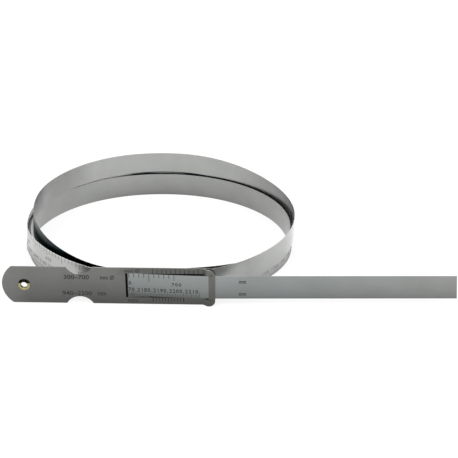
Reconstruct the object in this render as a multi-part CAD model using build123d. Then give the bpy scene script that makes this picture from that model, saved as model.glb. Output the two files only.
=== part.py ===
from build123d import *
import math
import os

# A steel measuring tape that reads the circumference and the diameter of round things.
# It lies coiled in four turns on its lower edges, with its reading head at the front.
# Millimetres. X runs along the head to the tape's free end, Y away from the reader, Z up.

# The band
tape_width = 16.0
tape_thickness = 0.2
tongue_length = 150.5
tongue_angle = 1.64
tongue_end_slant_length = 1.3

# The head: a stamped plate with a window, thumb notches and a raised bridge
head_length = 133.4
head_height = 25.5
plate_thickness = 0.8
end_bow = 6.5
notch_from_end = 48.5
notch_chord = 16.6
notch_depth = 4.9
window_length = 50.7
window_clearance = 0.5
# The window, the band and the rivets sit a little above the head's middle
tape_raise = 0.5
window_corner_radius = 0.4
bridge_width = 4.1
bridge_rise = 2.2
bridge_corner_radius = 4.0
ramp_length = 3.0
ramp_before_bridge = 0.5
bend_radius = 0.6

# The backing plate behind the window, which the band's start is welded to
backing_length = 41.4
backing_thickness = 0.6
backing_margin = 0.3
weld_length = 9.4
weld_margin = 0.4

# The two rivets that join bridge and backing plate, and guide the band between them
rivet_shank_diameter = 1.2
rivet_head_diameter = 2.5
rivet_head_height = 0.3
rivet_from_end = 2.6
rivet_hole_clearance = 0.05
guide_clearance = 0.1

# The brass eyelet
eyelet_from_end = 13.9
eyelet_bore = 4.0
eyelet_wall = 0.4
eyelet_rim_diameter = 7.8
eyelet_rim_height = 0.9
eyelet_back_diameter = 6.8
eyelet_back_height = 0.6
eyelet_lip_radius = 0.5
eyelet_hole_clearance = 0.05

# The coil, seen from above: its centre is measured from the head's right end and its
# front; the radii give the innermost turn's wall on each side of that centre
coil_centre_offset = 43.0
coil_centre_depth = 82.6
coil_right_radius = 90.0
coil_back_radius = 80.9
coil_left_radius = 87.65
# How square the coil is from front to right, right to back, back to left, left to front
coil_roundness = [2.10, 2.01, 2.07, 2.07]
nest_gap = 0.9
# Where each turn starts behind the head, and its place in the nest, in steps outwards
front_depths = [-0.25, 6.0, 5.2, 4.4]
right_steps = [3.4, 0.0, 2.1, 2.65]
back_steps = [3.6, 0.0, 1.85, 2.5]
left_steps = [0.12, 0.9, 1.6, 2.35]
# The height of each turn's lower edge: the first rides over the others at the back
front_heights = [5.3, 5.8, 0.5, 0.0]
right_heights = [8.4, 0.0, 0.0, 0.0]
back_heights = [16.95, 0.0, 0.3, 0.55]
left_heights = [17.4, 0.0, 0.0, 5.4]
# How far each turn's wall leans inwards on each side, in degrees
right_leans = [-2.4, -4.3, -2.4, -2.4]
back_leans = [1.4, -5.2, -1.0, -0.5]
left_leans = [5.0, 5.0, 5.0, 5.0]
# Past the back the first turn swings inwards across the next one
swing_quarter = 2.76
swing_reach = 0.75
swing_depth = 2.05
# Between left and front the inner turns dip away from the last one
dip_quarter = 3.5
dip_reach = 0.744
dip_depths = [2.05, 2.1, 2.3, 0.0]
dip_heights = [3.5, 0.0, 0.0, 0.0]
# Where the straight ends leave and join the coil, in quarter turns
leave_quarter = 0.54
join_quarter = 15.14
leave_ease = 0.329
join_ease = 0.299

# The band on its way through the head
entry_gap = 0.25
entry_slope = 0.052
bridge_gap = 0.05
bend_length = 3.0

# How finely the curved band is cut up
spans_per_quarter = 2
stations_per_span = 5
nudge = 1e-4

turns = len(front_depths)
middle = head_height / 2
tape_middle = middle + tape_raise
tape_level = tape_middle - tape_width / 2
window_end = head_length - bridge_width
window_start = window_end - window_length
coil_centre = head_length - coil_centre_offset
window_height = tape_width + 2 * window_clearance
backing_start = head_length - backing_length
backing_front = plate_thickness
backing_back = backing_front + backing_thickness
bridge_front = -bridge_rise
bridge_back = bridge_front + plate_thickness
rivet_offset = tape_width / 2 + guide_clearance + rivet_shank_diameter / 2


def ease(share):
    """Rise smoothly from 0 to 1."""
    return share**3 * (10 - 15 * share + 6 * share * share)


def among(values, place):
    """The value at a place between a list's entries."""
    low = max(0, min(int(place), len(values) - 2))
    return values[low] + (values[low + 1] - values[low]) * ease(place - low)


def hump(quarter, middle_quarter, reach):
    """How much of a dip or swing is felt at a place on the path."""
    return ease(max(0.0, 1 - abs(quarter - middle_quarter) / reach))


def coil_tables():
    """The coil's half axes, levels and lean as lists along the path."""
    depths = []
    widths = [coil_right_radius + nest_gap * right_steps[0]]
    levels = []
    leans = []
    for turn in range(turns):
        depths.append(coil_centre_depth - front_depths[turn])
        depths.append(coil_back_radius + nest_gap * back_steps[turn])
        widths.append(coil_right_radius + nest_gap * right_steps[turn])
        widths.append(coil_left_radius + nest_gap * left_steps[turn])
        levels += [front_heights[turn], right_heights[turn], back_heights[turn], left_heights[turn]]
        leans += [0.0, right_leans[turn], back_leans[turn], left_leans[turn]]
    depths.append(coil_centre_depth)
    widths.append(widths[-1])
    levels.append(tape_level)
    leans.append(0.0)
    return depths, widths, levels, leans


depths, widths, levels, leans = coil_tables()


def coil_point(quarter):
    """The foot of the wall on the ground plan, with the lower edge's height, and the lean."""
    angle = quarter * math.pi / 2
    across, along = math.sin(angle), math.cos(angle)
    depth = among(depths, quarter / 2)
    width = among(widths, (quarter + 1) / 2)
    power = coil_roundness[int(quarter) % 4]
    radius = ((abs(across) / width) ** power + (abs(along) / depth) ** power) ** (-1 / power)
    radius -= swing_depth * hump(quarter, swing_quarter, swing_reach)
    level = among(levels, quarter)
    for turn in range(turns):
        dip = hump(quarter, dip_quarter + 4 * turn, dip_reach)
        radius -= dip_depths[turn] * dip
        level -= dip_heights[turn] * dip
    place = Vector(coil_centre + radius * across, coil_centre_depth - radius * along, level)
    return place, among(leans, quarter)


def direction(curve, place):
    """A curve's direction of travel."""
    return (curve(place + nudge)[0] - curve(place - nudge)[0]).normalized()


def bridging(start, start_way, end, end_way, pull, start_lean=0.0, end_lean=0.0):
    """A curve that leaves one point and reaches another in the given directions."""
    arm = (end - start).length * pull

    def curve(share):
        rest = 1 - share
        point = start * rest**3
        point += (start + start_way * arm) * (3 * rest * rest * share)
        point += (end - end_way * arm) * (3 * rest * share * share)
        point += end * share**3
        return point, start_lean + (end_lean - start_lean) * ease(min(1.0, max(0.0, share)))

    return curve


def straight(start, end):
    """A straight stretch."""
    return lambda share: (start + (end - start) * share, 0.0)


def tape_path():
    """The band's centre line: curves, each with the places it is used between, in order."""
    along_head = Vector(1, 0, 0)
    weld_y = backing_back + tape_thickness / 2
    weld_start = Vector(backing_start + weld_margin, weld_y, front_heights[0])
    weld_end = weld_start + along_head * weld_length
    entry = Vector(window_start, plate_thickness + entry_gap + tape_thickness / 2, tape_level)
    entry_way = Vector(1, -entry_slope, 0).normalized()
    bridge_y = bridge_back + bridge_gap + tape_thickness / 2
    under_bridge = Vector(head_length - bridge_width + bridge_gap, bridge_y, tape_level)
    turned = math.radians(tongue_angle)
    tongue_way = Vector(math.cos(turned), math.sin(turned), 0)
    tongue_start = under_bridge + (along_head + tongue_way) * (bend_length / 2)
    tongue_end = tongue_start + tongue_way * tongue_length
    first, first_lean = coil_point(leave_quarter)
    last, last_lean = coil_point(join_quarter)
    first_way = direction(coil_point, leave_quarter)
    last_way = direction(coil_point, join_quarter)
    leaving = bridging(weld_end, along_head, first, first_way, leave_ease, 0.0, first_lean)
    joining = bridging(last, last_way, entry, entry_way, join_ease, last_lean, 0.0)
    window = bridging(entry, entry_way, under_bridge, along_head, join_ease)
    bend = bridging(under_bridge, along_head, tongue_start, tongue_way, 1 / 3)
    path = [(straight(weld_start, weld_end), 0, 1), (leaving, 0, 0.5), (leaving, 0.5, 1)]
    count = round((join_quarter - leave_quarter) * spans_per_quarter)
    stride = (join_quarter - leave_quarter) / count
    for span in range(count):
        start = leave_quarter + span * stride
        path.append((coil_point, start, start + stride))
    path += [(joining, 0, 0.5), (joining, 0.5, 1), (window, 0, 1), (bend, 0, 1)]
    path.append((straight(tongue_start, tongue_end), 0, 1))
    return path


def corners(curve, place, slant=0.0):
    """The band's four corners across its section: low outer, low inner, high inner, high outer."""
    point, lean = curve(place)
    travel = direction(curve, place)
    inwards = Vector(-travel.Y, travel.X, 0).normalized()
    tilt = math.radians(lean)
    upwards = inwards * math.sin(tilt) + Vector(0, 0, math.cos(tilt))
    upwards = (upwards - travel * upwards.dot(travel)).normalized()
    across = upwards.cross(travel) * (tape_thickness / 2)
    foot = point + inwards * (math.tan(tilt) * point.Z)
    foot += Vector(0, 0, abs(math.sin(tilt)) * tape_thickness / 2)
    head = foot + upwards * tape_width
    if across.dot(inwards) < 0:
        across = across * -1
    foot += travel * slant
    return [foot - across, foot + across, head + across, head - across]


def corner_edges(curve, start, end, count, slant):
    """The four long edges of one span of the band, the lower ones longer by the slant."""
    stride = (end - start) / (count - 1)
    places = [start + stride * i for i in range(count)]
    rows = [corners(curve, place) for place in places[:-1]] + [corners(curve, end, slant)]
    edges = []
    for corner in range(4):
        points = [row[corner] for row in rows]
        if count == 2:
            edges.append(Edge.make_line(points[0], points[1]))
            continue
        ways = []
        for place in (start, end):
            ahead = corners(curve, place + nudge)[corner]
            behind = corners(curve, place - nudge)[corner]
            ways.append((ahead - behind) * (1 / (2 * nudge)))
        edges.append(Edge.make_spline(points, ways, parameters=places, scale=False))
    return edges


def end_cap(curve, place, slant=0.0):
    """The band's cut end."""
    ring = corners(curve, place, slant)
    lower = Edge.make_line(ring[0], ring[1])
    upper = Edge.make_line(ring[3], ring[2])
    return Face.make_surface_from_curves(lower, upper)


def make_tape():
    """The band as one solid: ruled faces between its four long edges, span by span."""
    path = tape_path()
    tongue = path[-1]
    faces = [end_cap(path[0][0], path[0][1])]
    faces.append(end_cap(tongue[0], tongue[2], tongue_end_slant_length))
    for curve, start, end in path:
        is_straight = curve in (path[0][0], tongue[0])
        slant = tongue_end_slant_length if curve is tongue[0] else 0.0
        count = 2 if is_straight else stations_per_span
        edges = corner_edges(curve, start, end, count, slant)
        for corner in range(4):
            faces.append(Face.make_surface_from_curves(edges[corner], edges[(corner + 1) % 4]))
    return Solid(Shell(faces))


def disc_cut(x, z, radius):
    """A round bar across the head, for cutting holes and notches."""
    bar = Cylinder(radius, 4 * head_height, rotation=(90, 0, 0))
    return Pos(x, 0, z) * bar


def front_outline(shape_lines):
    """A closed line in the head's plane made into a prism through it."""
    face = make_face(Plane.XZ * shape_lines)
    return extrude(face, amount=head_height, both=True)


def make_head_plate():
    """One stamped sheet: outline, joggled end, notches, window and holes."""
    half = plate_thickness / 2
    ramp_end = window_end - ramp_before_bridge
    ramp_start = ramp_end - ramp_length
    profile = FilletPolyline(
        (0, half),
        (ramp_start, half),
        (ramp_end, half - bridge_rise),
        (head_length, half - bridge_rise),
        radius=bend_radius + half,
    )
    sheet = extrude(trace(profile, plate_thickness), amount=head_height)
    lines = Line((end_bow, 0), (head_length, 0))
    lines += Line((head_length, 0), (head_length, head_height))
    lines += Line((head_length, head_height), (end_bow, head_height))
    lines += ThreePointArc((end_bow, head_height), (0, middle), (end_bow, 0))
    outline = front_outline(lines)
    right_corners = outline.edges().filter_by(Axis.Y).group_by(Axis.X)[-1]
    plate = sheet & fillet(right_corners, bridge_corner_radius)
    notch_radius = (notch_chord**2 / 4 + notch_depth**2) / (2 * notch_depth)
    notch_centre = middle + notch_radius - notch_depth
    for side in (-1, 1):
        plate -= disc_cut(notch_from_end, middle + side * notch_centre, notch_radius)
        plate -= disc_cut(
            head_length - rivet_from_end,
            tape_middle + side * rivet_offset,
            rivet_shank_diameter / 2 + rivet_hole_clearance,
        )
    hole = eyelet_bore / 2 + eyelet_wall + eyelet_hole_clearance
    plate -= disc_cut(eyelet_from_end, middle, hole)
    window = Box(window_length, head_height, window_height)
    window = fillet(window.edges().filter_by(Axis.Y), window_corner_radius)
    return plate - Pos(window_end - window_length / 2, 0, tape_middle) * window


def make_backing_plate():
    """The flat plate behind the window, rounded like the bridge at its right end."""
    height = head_height - 2 * backing_margin
    plate = Box(backing_length, backing_thickness, height)
    right_corners = plate.edges().filter_by(Axis.Y).group_by(Axis.X)[-1]
    plate = fillet(right_corners, bridge_corner_radius)
    centre_x = head_length - backing_length / 2
    plate = Pos(centre_x, backing_front + backing_thickness / 2, middle) * plate
    for side in (-1, 1):
        plate -= disc_cut(
            head_length - rivet_from_end,
            tape_middle + side * rivet_offset,
            rivet_shank_diameter / 2 + rivet_hole_clearance,
        )
    return plate


def make_rivet(z):
    """A rivet from the bridge's face to the backing plate's back: domed head, coned tail."""
    shank = rivet_shank_diameter / 2
    head = rivet_head_diameter / 2
    front, back = bridge_front, backing_back
    sphere = (head**2 + rivet_head_height**2) / (2 * rivet_head_height)
    half = head / 2
    swell = math.sqrt(sphere**2 - half**2) - (sphere - rivet_head_height)
    tail = back + rivet_head_height
    lines = Line((0, tail), (0, front - rivet_head_height))
    lines += ThreePointArc((0, front - rivet_head_height), (half, front - swell), (head, front))
    lines += Line((head, front), (shank, front))
    lines += Line((shank, front), (shank, back))
    lines += Line((shank, back), (head, back))
    lines += Line((head, back), (half, tail))
    lines += Line((half, tail), (0, tail))
    rivet = revolve(make_face(lines), Axis.Y)
    return Pos(head_length - rivet_from_end, 0, z) * rivet


def quarter_arc(start, end, centre):
    """A quarter circle about a centre, seen in the section of a turned piece."""
    radius = math.dist(start, centre)
    mid = (
        (start[0] + end[0]) / 2 - centre[0],
        (start[1] + end[1]) / 2 - centre[1],
    )
    scale = radius / math.hypot(*mid)
    return ThreePointArc(start, (centre[0] + mid[0] * scale, centre[1] + mid[1] * scale), end)


def make_eyelet():
    """A brass tube through the plate with a rolled lip at the front and a coned one behind."""
    bore = eyelet_bore / 2
    barrel = bore + eyelet_wall
    rim = eyelet_rim_diameter / 2
    rim_back = eyelet_back_diameter / 2
    crest = rim - eyelet_rim_height
    crest_back = rim_back - eyelet_back_height
    lip = bore + eyelet_lip_radius
    front, back = 0.0, plate_thickness
    top = front - eyelet_rim_height
    base = back + eyelet_back_height
    mouth = top + eyelet_lip_radius
    tail = base - eyelet_lip_radius
    lines = Line((barrel, front), (rim, front))
    lines += quarter_arc((rim, front), (crest, top), (crest, front))
    lines += Line((crest, top), (lip, top))
    lines += quarter_arc((lip, top), (bore, mouth), (lip, mouth))
    lines += Line((bore, mouth), (bore, tail))
    lines += Line((bore, tail), (lip, base))
    lines += Line((lip, base), (crest_back, base))
    lines += Line((crest_back, base), (rim_back, back))
    lines += Line((rim_back, back), (barrel, back))
    lines += Line((barrel, back), (barrel, front))
    return Pos(eyelet_from_end, 0, middle) * revolve(make_face(lines), Axis.Y)


def make_parts():
    """Every piece by name, moved so that the origin is under the middle of the whole."""
    pieces = {
        "measuring_tape": make_tape(),
        "head_plate": make_head_plate(),
        "backing_plate": make_backing_plate(),
        "hanging_eyelet": make_eyelet(),
        "bridge_rivet_lower": make_rivet(tape_middle - rivet_offset),
        "bridge_rivet_upper": make_rivet(tape_middle + rivet_offset),
    }
    box = Compound(children=[piece.solids()[0] for piece in pieces.values()]).bounding_box()
    to_origin = Pos(-box.center().X, -box.center().Y, -box.min.Z)
    return {name: to_origin * piece for name, piece in pieces.items()}


os.makedirs("parts", exist_ok=True)
for name, piece in make_parts().items():
    export_step(piece, f"parts/{name}.step")
    box = piece.bounding_box()
    print(name, "volume", round(piece.volume, 1), "from", box.min, "to", box.max)
lengths = [(c, (c(e)[0] - c(s)[0]).length) for c, s, e in tape_path()]
print("welded and free straight ends", round(lengths[0][1], 1), round(lengths[-1][1], 1))
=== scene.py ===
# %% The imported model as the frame
import math

import bmesh
import bpy
import numpy as np
from mathutils import Matrix, Vector


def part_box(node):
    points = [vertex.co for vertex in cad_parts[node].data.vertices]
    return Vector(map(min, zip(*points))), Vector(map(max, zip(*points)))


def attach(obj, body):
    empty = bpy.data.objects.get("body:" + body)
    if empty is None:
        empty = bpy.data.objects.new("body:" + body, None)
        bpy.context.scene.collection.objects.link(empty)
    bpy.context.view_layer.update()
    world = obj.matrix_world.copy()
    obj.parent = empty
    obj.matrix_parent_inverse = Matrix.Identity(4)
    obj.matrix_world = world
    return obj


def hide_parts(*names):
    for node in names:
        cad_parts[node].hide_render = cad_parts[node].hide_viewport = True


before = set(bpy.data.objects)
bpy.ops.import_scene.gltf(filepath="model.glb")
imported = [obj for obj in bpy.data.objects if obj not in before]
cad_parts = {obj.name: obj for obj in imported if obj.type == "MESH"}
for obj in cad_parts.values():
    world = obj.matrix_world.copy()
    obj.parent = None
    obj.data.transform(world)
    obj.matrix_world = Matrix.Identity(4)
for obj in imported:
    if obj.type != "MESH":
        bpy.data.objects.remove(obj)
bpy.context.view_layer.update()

MM = 0.001

# %% [markdown]
# Everything on this tape measure is placed from one corner of its reading head: X along the
# head, Y away from the reader, Z up, in millimetres. The head plate's own box gives that
# corner, so each piece lands on the solid model without any fitting.

# %% The head's corner
BRIDGE_RISE = 2.2
head_low, head_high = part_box("head_plate")
HEAD_CORNER = np.array([head_low[0], head_low[1] + BRIDGE_RISE * MM, head_low[2]])
HEAD_LENGTH = (head_high[0] - head_low[0]) / MM
HEAD_HEIGHT = (head_high[2] - head_low[2]) / MM
TAPE_MIDDLE = HEAD_HEIGHT / 2 + 0.5


def placed(points):
    """Points in millimetres from the head's corner, as metres in the scene."""
    return HEAD_CORNER + np.asarray(points, float) * MM


def added(name, data):
    """A new object in the scene from its mesh, text, lamp or camera."""
    made = bpy.data.objects.new(name, data)
    bpy.context.scene.collection.objects.link(made)
    return made


print("head plate, mm:", round(HEAD_LENGTH, 2), "x", round(HEAD_HEIGHT, 2))

# %% [markdown]
# The camera looks down on the head at about 27 degrees with a long lens, so the coil is
# foreshortened to a flat ring. A long lens far away keeps the two ends of the head nearly
# the same size, as in a catalogue picture.

# %% The camera
PICTURE_SIDE = 458
FOCAL_PIXELS = 1120
CAMERA_PLACE = (158.496, -605.761, 358.161)
CAMERA_PITCH = math.radians(26.7)
CAMERA_AZIMUTH = math.radians(1.568)
SENSOR = 36.0
NEAREST, FARTHEST = 0.01, 20.0

camera_data = bpy.data.cameras.new("camera")
camera_data.sensor_width = SENSOR
camera_data.lens = FOCAL_PIXELS / PICTURE_SIDE * SENSOR
camera_data.clip_start = NEAREST
camera_data.clip_end = FARTHEST
camera = added("camera", camera_data)
camera.location = placed(CAMERA_PLACE)
camera.rotation_euler = (math.pi / 2 - CAMERA_PITCH, 0, CAMERA_AZIMUTH)
bpy.context.scene.camera = camera
print("lens, mm:", round(camera_data.lens, 1))

# %% [markdown]
# Shader maths reads best as plain expressions. The first class below wraps a node's output:
# adding or multiplying two wrapped sockets adds the Math node that does it. The second one
# makes any other node of a material from its type, its settings and its input values.


# %% Sockets that can be added and multiplied
def add_node(tree, kind, inputs=None, **settings):
    """Adds a node, feeds its inputs and returns its outputs."""
    made = tree.nodes.new(kind)
    for name, value in settings.items():
        setattr(made, name, value)
    for key, value in (inputs or {}).items():
        if isinstance(value, Socket):
            value = value.output
        if isinstance(value, bpy.types.NodeSocket):
            tree.links.new(value, made.inputs[key])
        else:
            made.inputs[key].default_value = value
    return made.outputs


def maths(operation, swapped=False):
    """A method that adds a Math node, with the values swapped for a number on the left."""

    def method(self, other):
        values = (other, self) if swapped else (self, other)
        return self.shader.node("ShaderNodeMath", dict(enumerate(values)), operation=operation)

    return method


class Socket:
    """An output of a shader node that takes part in arithmetic."""

    __add__, __radd__ = maths("ADD"), maths("ADD", swapped=True)
    __sub__, __rsub__ = maths("SUBTRACT"), maths("SUBTRACT", swapped=True)
    __mul__, __rmul__ = maths("MULTIPLY"), maths("MULTIPLY", swapped=True)
    __truediv__ = maths("DIVIDE")
    __pow__ = maths("POWER")

    def __init__(self, shader, output):
        self.shader = shader
        self.output = output

    def clamped(self):
        """The value kept between 0 and 1."""
        return self.shader.node("ShaderNodeClamp", {"Value": self})


class Shader:
    """A material, or the world, and the nodes in it."""

    # the Mix node's sockets when it mixes colours, and the Attribute node's number
    FACTOR, FIRST, SECOND, MIXED, NUMBER = 0, 6, 7, 2, 2

    def __init__(self, owner):
        owner.use_nodes = True
        self.tree = owner.node_tree
        self.tree.nodes.clear()

    def node(self, kind, inputs=None, output=0, **settings):
        """Adds a node and returns one of its outputs."""
        return Socket(self, add_node(self.tree, kind, inputs, **settings)[output])

    def finish(self, surface, kind="ShaderNodeOutputMaterial"):
        """Links a surface to the output."""
        end = self.tree.nodes.new(kind)
        self.tree.links.new(surface.output, end.inputs["Surface"])

    def mix(self, factor, low, high, blend="MIX"):
        """One colour where the factor is 0, another where it is 1."""
        inputs = {self.FACTOR: factor, self.FIRST: low, self.SECOND: high}
        return self.node("ShaderNodeMix", inputs, self.MIXED, data_type="RGBA", blend_type=blend)

    def times(self, colour, level):
        """A colour made lighter or darker by a level, or tinted by another colour."""
        return self.mix(1.0, colour, level, "MULTIPLY")

    def noise(self, vector, scale, detail, roughness):
        """Smooth noise about 0.5."""
        values = {"Vector": vector, "Scale": scale, "Detail": detail, "Roughness": roughness}
        return self.node("ShaderNodeTexNoise", values)

    def stretched(self, vector, scale):
        """A vector with each axis scaled by its own amount."""
        return self.node("ShaderNodeMapping", {"Vector": vector, "Scale": scale})

    def attribute(self, name):
        """A number kept on the mesh."""
        return self.node("ShaderNodeAttribute", output=self.NUMBER, attribute_name=name)

    def profile(self, value, table):
        """A level looked up in a table of places and levels, joined by straight lines."""
        low, high = table[0][0], table[-1][0]
        top = max(level for _, level in table)
        looked_up = self.node("ShaderNodeValToRGB", {"Fac": self.ramp(value, low, high)})
        stops = looked_up.output.node.color_ramp.elements
        while len(stops) < len(table):
            stops.new(1.0)
        for stop, (place, level) in zip(stops, table):
            stop.position = (place - low) / (high - low)
            stop.color = grey(level / top)
        return looked_up * top

    def ramp(self, value, low, high):
        """Rises from 0 to 1 while the value goes from low to high."""
        values = {"Value": value, "From Min": low, "From Max": high}
        return self.node("ShaderNodeMapRange", values, clamp=True)

    def between(self, value, rise_start, rise_end, fall_start, fall_end):
        """Rises from 0 to 1 over one stretch and falls back over a later one."""
        return self.ramp(value, rise_start, rise_end) * self.ramp(value, fall_end, fall_start)


def grey(level, warmth=0.0):
    """A neutral colour, a little warmer or cooler."""
    return (level * (1 + warmth), level, level * (1 - warmth), 1.0)


# %% [markdown]
# The picture has a plain white ground. The floor and the world are white to the camera and
# in reflections, so that the metal mirrors one even room, and the lamps add its highlights.
# A part of the floor's own shading is kept, so the coil still casts a soft shadow.

# %% The floor, the world and the lamps
FLOOR_WIDTH = 6.0
FLOOR_COLOUR = grey(0.82)
FLOOR_SHOWN = 0.8
FLOOR_GLOW = 1.03
WORLD_LEVEL = 0.75


def seen(shader):
    """1 for rays that see the background directly or in a reflection."""
    rays = ("Is Camera Ray", "Is Glossy Ray", "Is Transmission Ray")
    light_path = shader.node("ShaderNodeLightPath").output.node
    direct, mirrored, through = (Socket(shader, light_path.outputs[ray]) for ray in rays)
    return (direct + mirrored + through).clamped()


world = bpy.data.worlds.new("studio")
bpy.context.scene.world = world
sky = Shader(world)
strength = WORLD_LEVEL + (1.0 - WORLD_LEVEL) * seen(sky)
background = sky.node("ShaderNodeBackground", {"Color": grey(1.0), "Strength": strength})
sky.finish(background, "ShaderNodeOutputWorld")

floor_material = bpy.data.materials.new("pale_floor")
pale = Shader(floor_material)
matte = pale.node("ShaderNodeBsdfDiffuse", {"Color": FLOOR_COLOUR})
white = pale.node("ShaderNodeEmission", {"Color": grey(1.0), "Strength": FLOOR_GLOW})
pale.finish(pale.node("ShaderNodeMixShader", {0: seen(pale) * FLOOR_SHOWN, 1: matte, 2: white}))

floor_mesh = bpy.data.meshes.new("floor")
reach = FLOOR_WIDTH / 2
floor_corners = [(-reach, -reach, 0), (reach, -reach, 0), (reach, reach, 0), (-reach, reach, 0)]
floor_mesh.from_pydata(floor_corners, [], [(0, 1, 2, 3)])
floor_mesh.materials.append(floor_material)
floor = added("floor", floor_mesh)

# each lamp's place and width in metres, and its power in watts
LAMPS = {
    "key": ((-0.5, -0.9, 1.3), 0.9, 14.0),
    "fill": ((0.9, -0.5, 0.9), 0.8, 6.0),
    "back": ((0.1, 1.1, 1.2), 1.0, 8.0),
}
for name, (place, width, power) in LAMPS.items():
    lamp_data = bpy.data.lights.new(name, "AREA")
    lamp_data.shape = "DISK"
    lamp_data.size = width
    lamp_data.energy = power
    lamp = added(name, lamp_data)
    lamp.location = place
    lamp.rotation_euler = (-Vector(place)).to_track_quat("-Z", "Y").to_euler()
bpy.context.scene.view_settings.view_transform = "Standard"
print("lamps:", ", ".join(LAMPS))

# %% [markdown]
# The band is one strip of spring steel, 16 mm wide and 0.2 mm thick. Its start is welded
# behind the head, it runs round in four turns, and it comes out through the window and under
# the bridge. It follows the solid model's line: quarter turns of an oval, each turn a little
# outside or above the last, and smooth curves in and out of the head. Only the backs of the
# first and the last turn stand 0.23 mm nearer in height, so that no slit shows between them.

# %% The values of the coil, in millimetres and quarter turns
TAPE_WIDTH = 16.0
HALF_WIDTH = TAPE_WIDTH / 2
TAPE_THICKNESS = 0.2
COIL_X, COIL_Y = HEAD_LENGTH - 43.0, 82.6
REACH_RIGHT, REACH_BACK, REACH_LEFT = 90.0, 80.9, 87.65
COIL_ROUNDNESS = [2.10, 2.01, 2.07, 2.07]
NEST_GAP = 0.9
# one value for each turn, in the order in which the band runs through them
PASS_BEHIND = [-0.25, 6.0, 5.2, 4.4]
RIGHT_STEPS = [3.4, 0.0, 2.1, 2.65]
BACK_STEPS = [3.6, 0.0, 1.85, 2.5]
LEFT_STEPS = [0.12, 0.9, 1.6, 2.35]
FRONT_LEVELS = [5.3, 5.8, 0.5, 0.0]
RIGHT_LEVELS = [8.4, 0.0, 0.0, 0.0]
BACK_LEVELS = [16.72, 0.0, 0.3, 0.78]
LEFT_LEVELS = [17.4, 0.0, 0.0, 5.4]
RIGHT_LEANS = [-2.4, -4.3, -2.4, -2.4]
BACK_LEANS = [1.4, -5.2, -1.0, -0.5]
LEFT_LEANS = [5.0, 5.0, 5.0, 5.0]
SWING_QUARTER, SWING_REACH, SWING_DEPTH = 2.76, 0.75, 2.05
DIP_QUARTER, DIP_REACH = 3.5, 0.744
DIP_INWARDS = [2.05, 2.1, 2.3, 0.0]
DIP_DOWNWARDS = [3.5, 0.0, 0.0, 0.0]
LEAVE_QUARTER, JOIN_QUARTER = 0.54, 15.14
LEAVE_EASE, JOIN_EASE = 0.329, 0.299
TURNS = len(PASS_BEHIND)

# %% [markdown]
# Between the quarter points each value eases from one to the next, with no kink, and the
# oval is a superellipse: a circle whose sides are a touch fuller.


# %% A place on the coil
def ease(share):
    """Runs from 0 to 1 with a level start and a level end."""
    return share**3 * (10 - 15 * share + 6 * share * share)


def among(values, place):
    """A row's value at a place between two of its entries."""
    low = max(0, min(int(place), len(values) - 2))
    return values[low] + (values[low + 1] - values[low]) * ease(place - low)


def coil_tables():
    """The oval's reach front and back, its reach to the sides, its levels and its leans."""
    depths, widths, levels, leans = [], [REACH_RIGHT + NEST_GAP * RIGHT_STEPS[0]], [], []
    for turn in range(TURNS):
        depths.append(COIL_Y - PASS_BEHIND[turn])
        depths.append(REACH_BACK + NEST_GAP * BACK_STEPS[turn])
        widths.append(REACH_RIGHT + NEST_GAP * RIGHT_STEPS[turn])
        widths.append(REACH_LEFT + NEST_GAP * LEFT_STEPS[turn])
        levels += [FRONT_LEVELS[turn], RIGHT_LEVELS[turn], BACK_LEVELS[turn], LEFT_LEVELS[turn]]
        leans += [0.0, RIGHT_LEANS[turn], BACK_LEANS[turn], LEFT_LEANS[turn]]
    last_level = TAPE_MIDDLE - HALF_WIDTH
    return depths + [COIL_Y], widths + [widths[-1]], levels + [last_level], leans + [0.0]


DEPTHS, WIDTHS, LEVELS, LEANS = coil_tables()


def felt(quarter, middle_quarter, reach):
    """1 at the middle of a swing or a dip, easing to 0 at its reach to either side."""
    return ease(max(0.0, 1 - abs(quarter - middle_quarter) / reach))


def coil_point(quarter):
    """The foot of the wall with the lower edge's height, and the lean in degrees."""
    angle = quarter * math.pi / 2
    across, along = math.sin(angle), math.cos(angle)
    depth, width = among(DEPTHS, quarter / 2), among(WIDTHS, (quarter + 1) / 2)
    power = COIL_ROUNDNESS[int(quarter) % 4]
    radius = ((abs(across) / width) ** power + (abs(along) / depth) ** power) ** (-1 / power)
    radius -= SWING_DEPTH * felt(quarter, SWING_QUARTER, SWING_REACH)
    level = among(LEVELS, quarter)
    for turn in range(TURNS):
        dip = felt(quarter, DIP_QUARTER + 4 * turn, DIP_REACH)
        radius -= DIP_INWARDS[turn] * dip
        level -= DIP_DOWNWARDS[turn] * dip
    point = np.array([COIL_X + radius * across, COIL_Y - radius * along, level])
    return point, among(LEANS, quarter)


print("second turn's front, mm:", np.round(coil_point(4)[0], 1).tolist())


# %% [markdown]
# The straight and eased stretches at both ends follow the head: welded flat behind the
# window, in through the window, under the bridge, and out as the free tongue.

# %% The values of the head that the band follows
PLATE_THICKNESS = 0.8
BACKING_LENGTH, BACKING_THICKNESS = 41.4, 0.6
WELD_MARGIN, WELD_LENGTH = 0.4, 9.4
WINDOW_LENGTH = 50.7
BRIDGE_WIDTH = 4.1
WINDOW_START = HEAD_LENGTH - BRIDGE_WIDTH - WINDOW_LENGTH
ENTRY_GAP, ENTRY_SLOPE = 0.25, 0.052
BRIDGE_GAP = 0.05
BEND_LENGTH, BEND_EASE = 3.0, 1 / 3
TONGUE_LENGTH, TONGUE_ANGLE = 150.5, 1.64
TONGUE_END_SLANT = 1.3
NUDGE = 1e-4


def unit(vector):
    """The same direction with the length one."""
    return vector / np.linalg.norm(vector)


def heading(curve, place):
    """The direction of a curve at a place on it."""
    return unit(curve(place + NUDGE)[0] - curve(place - NUDGE)[0])


def straight(start, end):
    """A straight stretch that doesn't lean."""
    return lambda share: (start + (end - start) * share, 0.0)


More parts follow.
